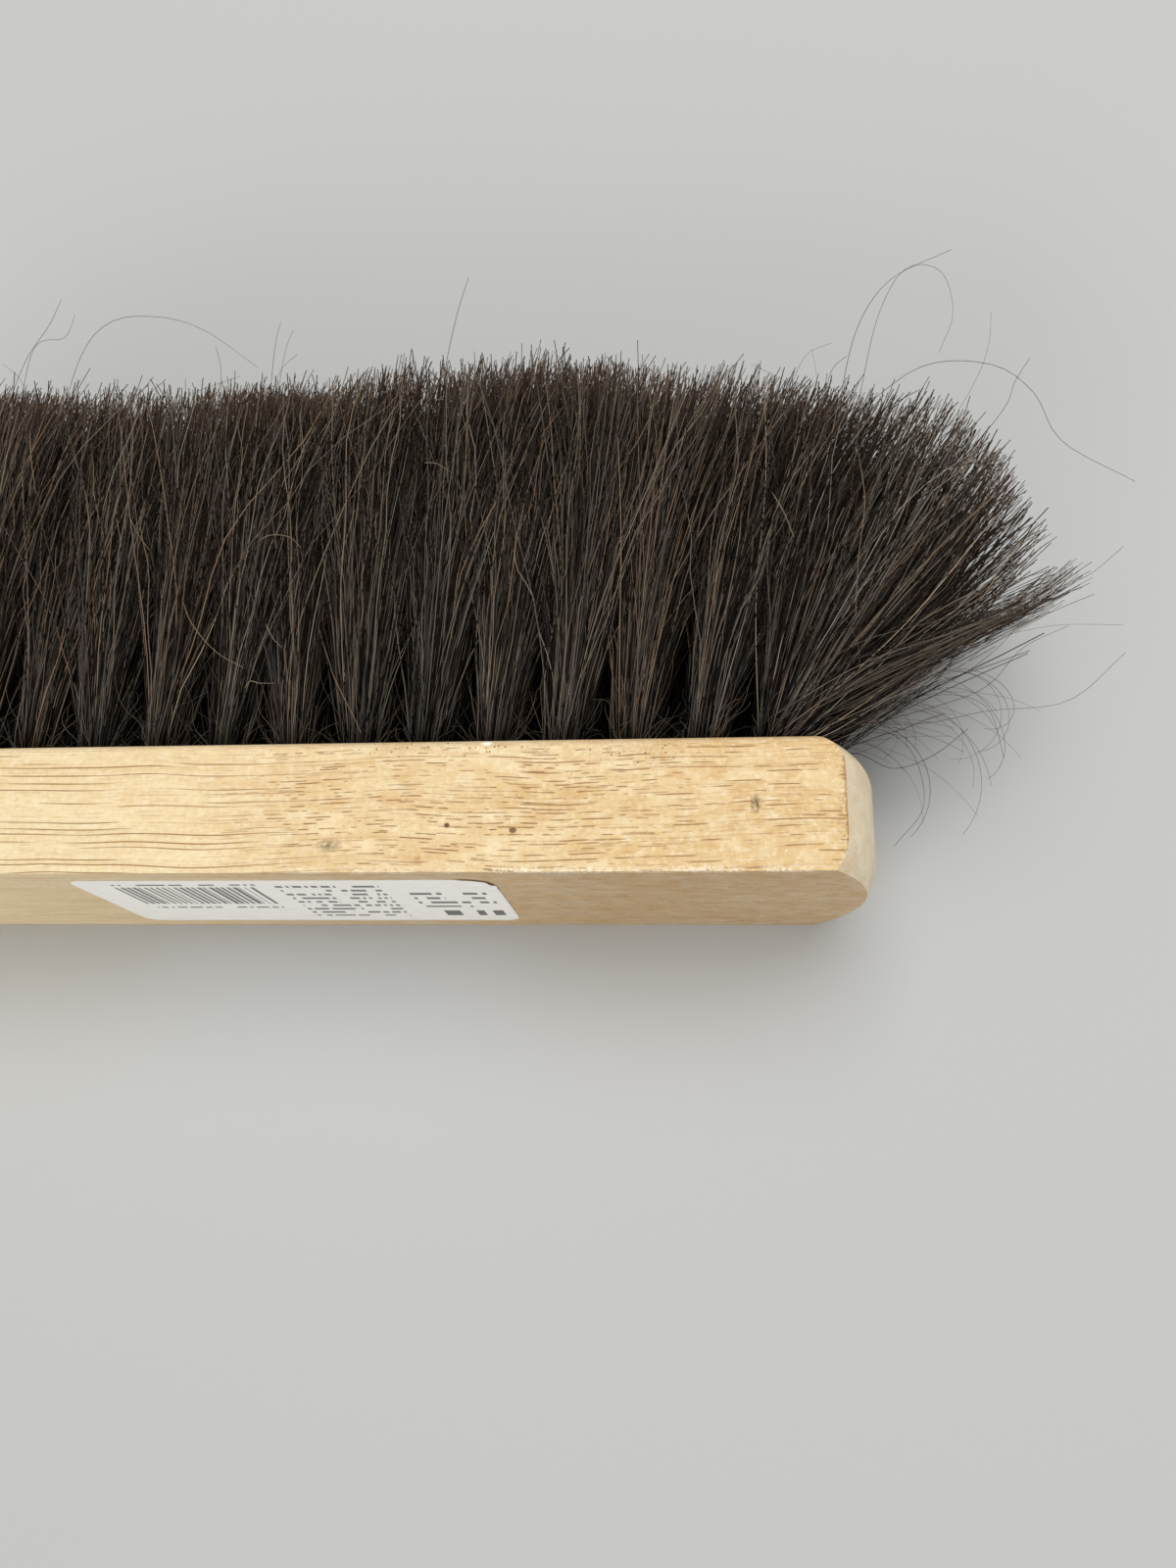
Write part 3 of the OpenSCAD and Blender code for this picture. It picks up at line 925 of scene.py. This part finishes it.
# %% Long loose hairs
# Points in millimetres.
loose_points = (
    ((38.0, 60, 42), (39.0, 80, 45), (41.5, 90, 49), (44.0, 96, 52)),
    ((-48.0, 70, 42), (-43.0, 87, 45), (-36.5, 93, 49), (-33.0, 96, 52)),
    ((-36.0, 70, 42), (-31.0, 88, 46), (-24.0, 93.2, 49), (-14.0, 92.6, 50), (-5.0, 89, 50), (4.0, 83.6, 46)),
    ((-44.0, 74, 42), (-41.5, 91, 45), (-35.0, 92.5, 46), (-32.4, 96, 48)),
    ((5.5, 72, 42), (6.8, 87, 46), (8.2, 92, 48)),
    ((6.5, 74, 42), (8.8, 86, 46), (10.8, 90, 48)),
    ((108.5, 66, 42), (111.0, 80, 44), (114.0, 88.1, 47), (119.1, 93, 50), (128.7, 96.4, 52)),
    ((113.0, 74, 42), (116.5, 88, 46), (121.0, 94.5, 50), (126.5, 92, 52), (128.2, 84, 51), (126.0, 78.4, 48)),
    ((112.0, 72, 40), (124, 79.5, 43), (135.2, 77.8, 45), (141.5, 71, 46), (145.5, 61.9, 45), (157.5, 55.5, 42)),
    ((106.0, 18, 30), (122.5, 19.2, 25), (135.2, 22.6, 22), (148.3, 23.4, 24), (157.5, 30.5, 28)),
    ((105.0, 16, 30), (116.0, 20.5, 26), (127.0, 25.4, 23), (135.8, 24.4, 19), (139.5, 17, 13)),
    ((105.0, 15, 33), (114.9, 16.8, 29), (120.9, 13.4, 26), (122.5, 4.5, 24), (117.5, -2, 22)),
    ((106.0, 19, 32), (117.9, 25.2, 31), (130.8, 31.4, 30), (145.2, 35.9, 28), (158.5, 36.8, 26)),
    ((110.0, 24, 32), (134.5, 36.1, 31), (142.4, 39.5, 33), (149.9, 41.2, 36), (155.7, 45.5, 38)),
    ((104.0, 14, 24), (112.3, 15.6, 20), (118.9, 13.4, 18), (126.5, 16.6, 16), (132.9, 21.6, 16)),
    ((107.0, 17, 26), (127.1, 24.2, 21), (136.1, 28.3, 20), (141.9, 34.1, 23), (149.9, 37.8, 24)),
    ((125.0, 56, 40), (136.6, 69.2, 43), (138.6, 73.2, 46), (141.0, 76.6, 48)),
    ((122.0, 58, 41), (131.6, 73.1, 45), (134.2, 79, 48), (134.8, 84.5, 50)),
    ((7.0, 20, 41), (5.5, 44, 45.5), (11.5, 49.3, 46.5), (17.0, 42, 46), (15.0, 31, 43)),
    ((60.0, 30, 42), (66.5, 58, 45.5), (73.0, 62.5, 46), (80.0, 61.5, 45)),
    ((24.0, 24, 41), (27.0, 40, 45), (31.5, 48, 46), (29.5, 60, 46)),
)
loose_radii_mm = (0.05, 0.085)

random = np.random.default_rng(77)
stray_paths = [smooth_path(points, stray_model["rings"]) for points in loose_points]
stray_radii = [random.uniform(*loose_radii_mm) for _ in stray_paths]
print(len(stray_paths), "long loose hairs")

# %% [markdown]
# A dozen broken hairs lie loose on top of the mass. The palest ones catch the eye, so these are all pale.

# %% Pale broken hairs
pale_points = (
    ((8.6, 19.6, 45.5), (10.1, 20.3, 47), (11.7, 19.9, 47), (13.7, 20.5, 45.5)),
    ((23.7, 22.1, 47), (26.0, 17.7, 47), (27.9, 14.1, 45.5), (28.9, 11.8, 44)),
    ((-15.8, 74.7, 48.5), (-17.3, 66.8, 48.8), (-18.9, 60.6, 48.8), (-20.0, 53.0, 48.5)),
    ((-36.5, 70.3, 48.6), (-35.2, 64.5, 48.8), (-33.2, 57.0, 48.4)),
    ((-15.1, 52.0, 48.5), (-12.9, 48.2, 48.5), (-10.5, 45.0, 48.0)),
    ((37.4, 60.1, 48.6), (39.7, 59.6, 48.9), (42.1, 58.1, 48.5)),
    ((-5.5, 76.6, 48.6), (-6.1, 70.2, 48.9), (-7.0, 63.2, 48.9), (-6.8, 57.0, 48.5)),
    ((96.9, 51.8, 48.6), (98.8, 47.6, 48.8), (100.2, 43.4, 48.4)),
    ((111.3, 59.2, 48.6), (111.9, 49.5, 48.8), (110.4, 39.0, 48.4), (109.6, 29.4, 47.0)),
    ((-3.3, 35.4, 48.0), (-0.6, 30.3, 48.5), (4.0, 25.3, 48.2), (8.9, 22.5, 47.5)),
    ((12.3, 30.0, 48.5), (13.9, 27.2, 48.8), (15.5, 25.6, 48.5)),
    ((8.9, 45.6, 48.5), (11.5, 46.6, 49.0), (14.9, 46.1, 49.0), (17.0, 44.2, 48.5)),
)
pale_from = len(stray_paths)
stray_paths += [smooth_path(points, stray_model["rings"]) for points in pale_points]
stray_radii += [0.1] * len(pale_points)
pale_to = len(stray_paths)
print(len(pale_points), "pale broken hairs")

# %% [markdown]
# A loose wisp stands out low over the nose: its hairs draw together along one curve and part again at its
# tip. Fine hairs curl out from under it. Each turns steadily one way, some right round, and none lies over
# the wood.

# %% Wisp
wisp_curve = (
    (96.5, 13.5, 35.0), (111.0, 21.5, 37.5), (126.0, 28.0, 40.0), (138.0, 33.0, 41.5), (147.5, 39.5, 42.0)
)
wisp_widths = np.array([2.6, 3.4, 2.0, 1.4, 2.2])
wisp_hairs = 120
wisp_steps = 60
wisp_shortest = 46

for _ in range(wisp_hairs):
    offset = random.normal(0, 0.6, 3)
    stagger = random.normal(0, 0.35, (len(wisp_curve), 3))
    points = np.array(wisp_curve) + (offset + stagger) * wisp_widths[:, None]
    path = smooth_path(points, wisp_steps)[: int(random.uniform(wisp_shortest, wisp_steps))]
    stray_paths.append(thinned(path))
    stray_radii.append(random.uniform(0.06, 0.1))
print(wisp_hairs, "hairs in the wisp")

# %% Curls
curl_tries = 150
curl_steps = np.linspace(0, 1, 40)
wisp_line = smooth_path(wisp_curve, wisp_steps)
curls_from = len(stray_paths)

for _ in range(curl_tries):
    start = wisp_line[int(wisp_steps * 0.5 * random.random() ** 2.2)]
    start = start + [random.uniform(0, 3), -1.5, random.uniform(-20, 1)]
    reach = random.uniform(9, 36)
    turning = random.choice([-1, 1]) * random.uniform(25, 230)
    heading = math.radians(random.uniform(48, 88)) + math.radians(turning) * curl_steps
    climb = math.radians(random.normal(0, 12)) + math.radians(random.normal(0, 25)) * curl_steps
    step = np.stack([np.sin(heading) * np.cos(climb), np.cos(heading) * np.cos(climb), np.sin(climb)], axis=1)
    path = start + np.cumsum(step, axis=0) * reach / len(curl_steps)
    over_wood = (path[:, 0] < block_high.x / MM) & (path[:, 1] < block_high.y / MM + 0.5)
    if np.any(over_wood):
        continue
    stray_paths.append(thinned(path))
    stray_radii.append(random.uniform(0.04, 0.07))
print(len(stray_paths) - curls_from, "curls")

# %% [markdown]
# Last, short hairs stand out by chance all along the trimmed edge. No stray hair leaves a room around the
# mass.

# %% Hairs along the edge
edge_hairs = 34
edge_top = 96

for _ in range(edge_hairs):
    at_x = random.uniform(-88, 112)
    bend = random.normal(0, 2.5)
    height = np.interp(at_x * MM, trim_places, trim_heights) / MM
    up = random.uniform(3, 10)
    at_z = random.uniform(10, 42)
    points = (
        (at_x, height - 22, at_z),
        (at_x + bend, height - 6, at_z),
        (at_x + 2.2 * bend, height + up * 0.5, at_z + 1),
        (at_x + 4 * bend, min(height + up, edge_top), at_z + 2),
    )
    stray_paths.append(smooth_path(points, stray_model["rings"]))
    stray_radii.append(random.uniform(*loose_radii_mm))
print(edge_hairs, "hairs along the edge")

# %% Make the stray hairs
stray_low = np.array([-0.120, -0.010, table_clearance])
stray_high = np.array([0.1590, 0.0965, 0.0525])
stray_paths = np.clip(np.array(stray_paths) * MM, stray_low, stray_high)
stray_radii = np.array(stray_radii) * MM
stray_tones = random.uniform(0.15, 0.85, len(stray_paths))
stray_tones[pale_from:pale_to] = random.uniform(0.86, 0.97, pale_to - pale_from)
stray_warm = random.random(len(stray_paths)) < 0.5
stray_hairs = bent_hairs(stray_model, stray_paths, stray_radii, stray_tones, stray_warm)
strays = hair_piece("hair_strays", [stray_hairs])
dress(strays, hair_material, "horsehair")
print(len(stray_paths), "stray hairs")

# %% [markdown]
# ## The label
# A white paper sticker on the back of the block. A sheet with many small faces can lift and crease, so it
# starts as a grid of half-millimetre faces whose corners are drawn in to a radius. One corner has come
# unstuck and is crumpled. A solidify modifier gives the paper its thickness.

# %% Label paper shape
label_low, label_high = (Vector(corner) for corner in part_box("label"))
label_size = label_high - label_low
label_middle = (label_low + label_high) / 2
corner_radius = 2.5 * MM
worn_radius = 5.0 * MM
paper_thickness = 0.12 * MM
glue_thickness = 0.01 * MM
lifted_reach = 8.5 * MM
lifted_height = 0.6 * MM

deselect_all()
bpy.ops.mesh.primitive_grid_add(x_subdivisions=146, y_subdivisions=64, size=1.0, location=(0, 0, 0))
label = bpy.context.object
label.name = "label_paper"
half_x, half_z = label_size.x / 2, label_size.z / 2
for vertex in label.data.vertices:
    out_x, out_z = vertex.co.x * label_size.x, vertex.co.y * label_size.z
    radius = worn_radius if out_x > 0 and out_z > 0 else corner_radius
    beyond = Vector((max(abs(out_x) - half_x + radius, 0), max(abs(out_z) - half_z + radius, 0)))
    if beyond.x > 0 and beyond.y > 0 and beyond.length > radius:
        beyond = beyond * (radius / beyond.length)
        out_x = math.copysign(half_x - radius + beyond.x, out_x)
        out_z = math.copysign(half_z - radius + beyond.y, out_z)
    to_corner = (Vector((out_x, out_z)) - Vector((half_x, half_z))).length
    crumple = max(0.0, 1 - to_corner / lifted_reach) ** 1.2
    folds = math.sin(out_x / (0.7 * MM)) * math.cos(out_z / (0.6 * MM) + out_x / (1.3 * MM))
    lift = glue_thickness + crumple * (0.55 + 0.45 * folds) * lifted_height
    vertex.co = Vector((label_middle.x + out_x, block_low.y - lift, label_middle.z + out_z))
solidify = label.modifiers.new("paper", "SOLIDIFY")
solidify.thickness = paper_thickness
solidify.offset = 1.0
bpy.ops.object.modifier_apply(modifier="paper")
bpy.ops.object.shade_smooth_by_angle(angle=math.radians(30))
print("label", len(label.data.polygons), "faces", label_size)

# %% [markdown]
# Label paper is coated, so it is smooth and shines a little, and its fibres cloud it faintly. The print is
# drawn by the material from places in millimetres on the paper, counted from its lower left corner: a block
# of upright bars, and rows of small dashes where a real label has its words. None of it can be read.

# %% Label places
paper_material, paper_tree = blank_material("label_paper_printed")
paper_place = add(paper_tree, "TexCoord").outputs["Object"]
from_corner = (-label_low.x / MM, 0, -label_low.z / MM)
paper_inputs = {"Vector": paper_place, "Location": from_corner, "Scale": metres_to_mm}
paper_mm = add(paper_tree, "Mapping", paper_inputs).outputs[0]
across_paper, _, up_paper = add(paper_tree, "SeparateXYZ", {"Vector": paper_mm}).outputs


def between(value, low, high):
    return times(work_out("GREATER_THAN", value, low), work_out("LESS_THAN", value, high))


def area(x_low, x_high, z_low, z_high):
    return times(between(across_paper, x_low, x_high), between(up_paper, z_low, z_high))


def chance_in_cell(value, cell, row=0.0):
    """A random number for each cell along a value, another one in each row."""
    inputs = {"X": work_out("FLOOR", over(value, cell)), "Y": row}
    cell_place = add(paper_tree, "CombineXYZ", inputs).outputs[0]
    return add(paper_tree, "TexWhiteNoise", {"Vector": cell_place}, noise_dimensions="3D").outputs["Value"]


print("label places from", [round(value, 1) for value in from_corner], "mm")


# %% Label print
def dashes(x_low, x_high, z_low, z_high, row_pitch, letter):
    """Rows of dashes that stand for small print."""
    row = work_out("FLOOR", over(up_paper, row_pitch))
    in_row = between(work_out("FRACT", over(up_paper, row_pitch)), 0.28, 0.72)
    spaces = work_out("GREATER_THAN", chance_in_cell(across_paper, letter * 2.3, row), 0.16)
    letters = work_out("GREATER_THAN", chance_in_cell(across_paper, letter * 0.5, row), 0.3)
    return times(area(x_low, x_high, z_low, z_high), times(in_row, times(spaces, letters)))


bar_pitch = 1.05
bar_place = work_out("FRACT", over(across_paper, bar_pitch))
bar_width = plus(times(chance_in_cell(across_paper, bar_pitch), 0.6), 0.2)
ink = times(area(6, 31.5, 14.5, 27.3), work_out("LESS_THAN", bar_place, bar_width))
for block_of_print in (
    dashes(35, 53, 4.0, 29.0, row_pitch=2.9, letter=1.1),
    dashes(5, 32, 27.8, 30.0, row_pitch=2.0, letter=1.2),
    dashes(7, 31, 10.0, 12.2, row_pitch=2.1, letter=1.2),
    dashes(57, 71, 11.5, 24, row_pitch=3.4, letter=1.6),
):
    ink = greater(ink, block_of_print)
bold = work_out("GREATER_THAN", chance_in_cell(across_paper, 1.5), 0.3)
ink = greater(ink, times(area(60, 71, 4.4, 8.6), bold))
print("label print: a block of bars and rows of dashes")

# %% Label paper
cloud_inputs = {"Vector": paper_mm, "Scale": 0.35, "Detail": 3.0}
paper_clouds = add(paper_tree, "TexNoise", cloud_inputs).outputs["Fac"]
paper_stops = ((0.3, linear("F3F0E9")), (0.7, linear("FAF8F2")))
paper_colour = add(paper_tree, "ValToRGB", {"Fac": paper_clouds}, stops=paper_stops).outputs["Color"]
paper_colour = lay_over(paper_colour, (times(ink, 0.86), linear("222326")))
bump_inputs = {"Height": paper_clouds, "Strength": 0.15, "Distance": 0.2 * MM}
paper_bump = add(paper_tree, "Bump", bump_inputs).outputs[0]
sheet_inputs = {"Base Color": paper_colour, "Roughness": 0.45, "IOR": 1.45, "Normal": paper_bump}
paper_shader = add(paper_tree, "BsdfPrincipled", sheet_inputs)
add(paper_tree, "OutputMaterial", {"Surface": paper_shader.outputs[0]})
dress(label, paper_material, "label_paper", "label")
print("label printed")
